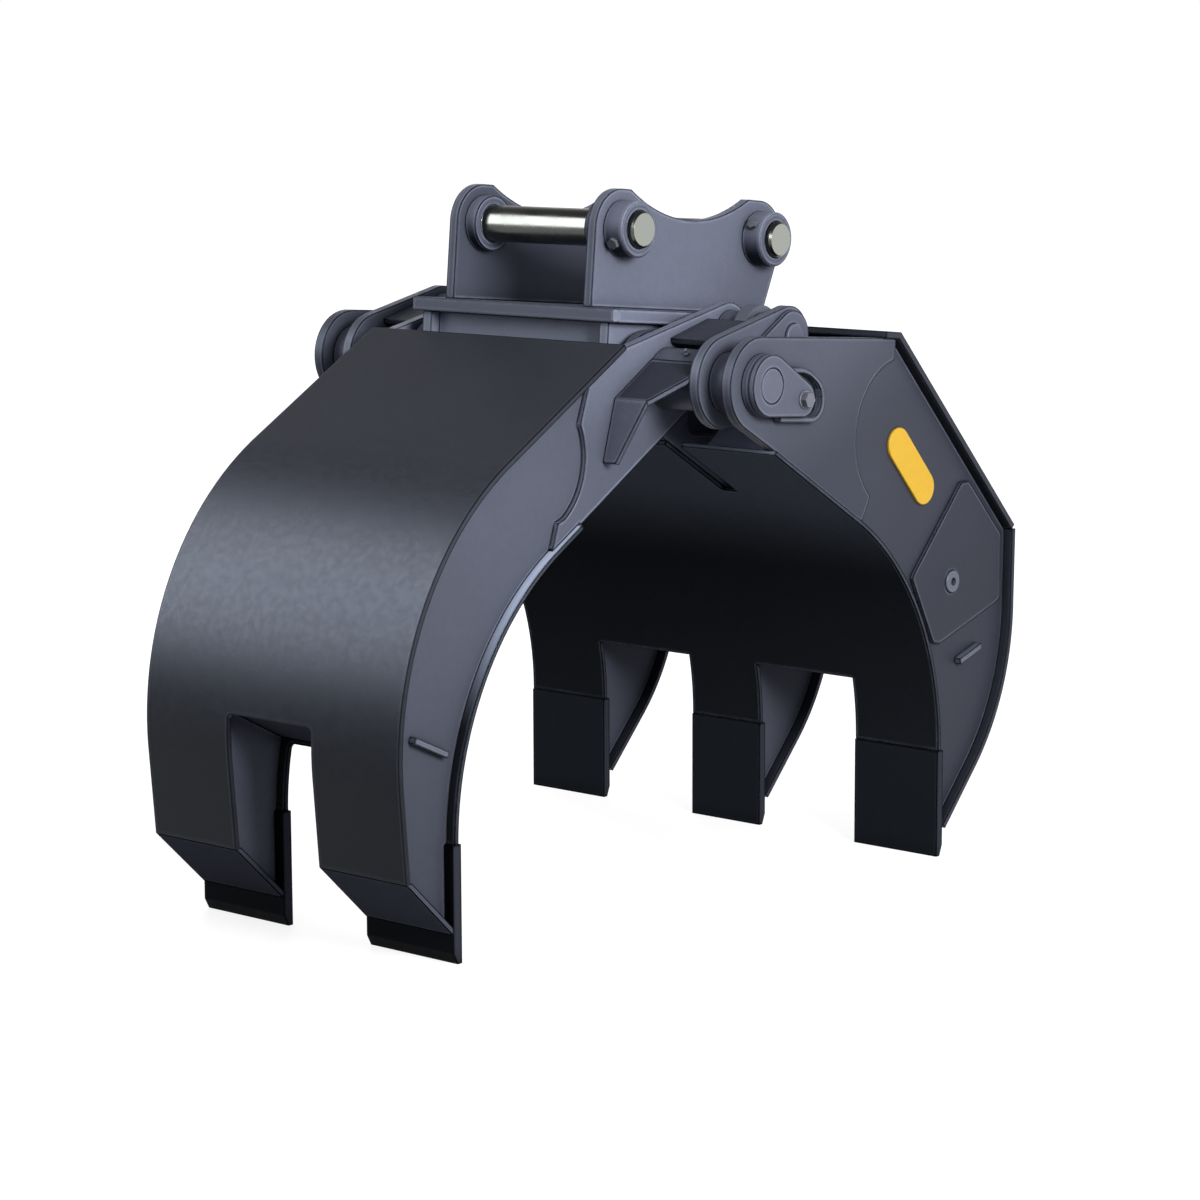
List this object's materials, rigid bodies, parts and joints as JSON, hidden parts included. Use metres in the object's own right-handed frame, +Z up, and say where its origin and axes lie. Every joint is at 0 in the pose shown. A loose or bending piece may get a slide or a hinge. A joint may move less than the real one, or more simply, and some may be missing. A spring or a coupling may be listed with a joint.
{
  "type": "rock grapple",
  "caption": "Rock grapple for an excavator: a fixed rear jaw with an ear-plate hitch, and a front jaw that two hydraulic cylinders close on it.",
  "frame": {"origin": "centre of the front hitch pin, on the mid-plane", "axes": "+X level from the front jaw to the rear jaw, +Y to the far side along the hitch pins, +Z up, with both rows of tips on level ground"},
  "size_m": [1.8212, 1.2912, 1.524],
  "materials": {
    "paint": "satin slate grey paint",
    "dark_paint": "satin slate grey paint, darker",
    "blade_paint": "satin paint on wear steel",
    "pin_steel": "ground and polished",
    "rod_chrome": "hard chrome",
    "fitting_steel": "painted or plated fittings"
  },
  "bodies": {
    "rear_jaw": {"head_ears": "paint", "head_bosses": "paint", "head_collars": "paint", "hitch_pin_front": "pin_steel", "hitch_pin_rear": "pin_steel", "hitch_lock_bolts": "fitting_steel", "head_base_plate": "paint", "head_box_walls": "paint", "head_box_front": "paint", "rear_arm_plates": "paint", "rear_side_plates": "paint", "rear_inner_webs": "dark_paint", "rear_upper_back_plate": "dark_paint", "rear_lower_back_plate": "paint", "rear_concave_plate": "dark_paint", "rear_tine_plates": "paint", "rear_gap_roofs": "dark_paint", "rear_floor_plates": "paint", "rear_outer_blades": "blade_paint", "rear_middle_blade": "blade_paint", "rear_covers": "paint", "cylinder_base_pins": "fitting_steel", "base_pin_spacers": "fitting_steel", "main_pivot_pins": "fitting_steel", "pivot_bosses": "paint", "pivot_keepers": "paint", "pivot_keeper_bolts": "fitting_steel", "pivot_keeper_guards": "paint", "rear_lugs": "paint", "rear_bulkhead": "dark_paint"},
    "front_jaw": {"front_arm_plates": "paint", "front_side_plates": "paint", "front_back_plate": "dark_paint", "front_concave_plate": "dark_paint", "front_tine_plates": "paint", "front_slot_roof": "dark_paint", "front_closing_plates": "paint", "front_blades": "blade_paint", "front_link_plates": "paint", "front_pivot_tubes": "paint", "front_gussets": "dark_paint", "front_braces": "dark_paint", "rod_spacers": "paint", "link_bosses": "paint", "rod_pins": "fitting_steel", "rod_pin_keepers": "paint", "grease_nipples": "fitting_steel", "front_lugs": "paint"},
    "rod_near_body": {"rod_near": "rod_chrome"},
    "rod_far_body": {"rod_far": "rod_chrome"},
    "barrel_near_body": {"barrel_near": "dark_paint", "gland_near": "fitting_steel"},
    "barrel_far_body": {"barrel_far": "dark_paint", "gland_far": "fitting_steel"}
  },
  "joints": [
    {"name": "front_jaw_close", "type": "hinge", "parent": "rear_jaw", "child": "front_jaw", "pos_m": [-0.02124, 0, -0.30938], "axis": [0, -1, 0], "range_deg": [0, 62]},
    {"name": "rod_near_swing", "type": "hinge", "parent": "front_jaw", "child": "rod_near_body", "pos_m": [0.19436, -0.42, -0.22832], "axis": [0, -1, 0], "range_deg": [-61, 0]},
    {"name": "rod_far_swing", "type": "hinge", "parent": "front_jaw", "child": "rod_far_body", "pos_m": [0.19436, 0.42, -0.22832], "axis": [0, -1, 0], "range_deg": [-61, 0]},
    {"name": "barrel_near_slide", "type": "slide", "parent": "rod_near_body", "child": "barrel_near_body", "axis": [0.6548, 0, -0.7558], "range_m": [0, 0.24]},
    {"name": "barrel_far_slide", "type": "slide", "parent": "rod_far_body", "child": "barrel_far_body", "axis": [0.6548, 0, -0.7558], "range_m": [0, 0.24]}
  ],
  "couplings": [
    {"joint": "rod_near_swing", "follows": "front_jaw_close", "ratio": -0.9793},
    {"joint": "rod_far_swing", "follows": "front_jaw_close", "ratio": -0.9793},
    {"joint": "barrel_near_slide", "follows": "front_jaw_close", "m_per_rad": 0.2193},
    {"joint": "barrel_far_slide", "follows": "front_jaw_close", "m_per_rad": 0.2193}
  ]
}
